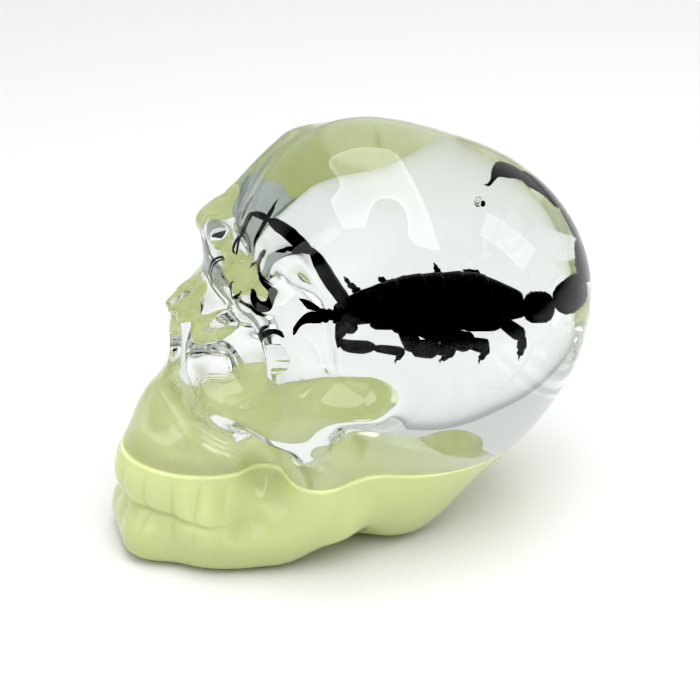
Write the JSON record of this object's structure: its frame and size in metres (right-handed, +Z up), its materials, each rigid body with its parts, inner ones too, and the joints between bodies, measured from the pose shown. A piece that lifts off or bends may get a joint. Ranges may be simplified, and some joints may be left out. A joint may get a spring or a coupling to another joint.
{
  "type": "skull-shaped resin casting with an embedded scorpion",
  "caption": "Skull-shaped resin paperweight: a clear casting that holds a whole black scorpion, on a lime-green layer that it stands on.",
  "frame": {"origin": "centre of the casting's bounding box at its flat underside", "axes": "+Z up; the skull's face looks along -Y, so the long way from teeth to back of the head runs along Y; X is the skull's width"},
  "size_m": [0.0586, 0.0875, 0.0773],
  "materials": {
    "clear_resin": "polished clear cast resin",
    "lime_resin": "glossy lime-green cast resin",
    "scorpion_shell": "glossy black shell of the dried scorpion",
    "air_bubble": "small air bubble in the clear resin"
  },
  "bodies": {
    "root": {"clear_casting": "clear_resin", "lime_layer": "lime_resin"}
  },
  "joints": []
}
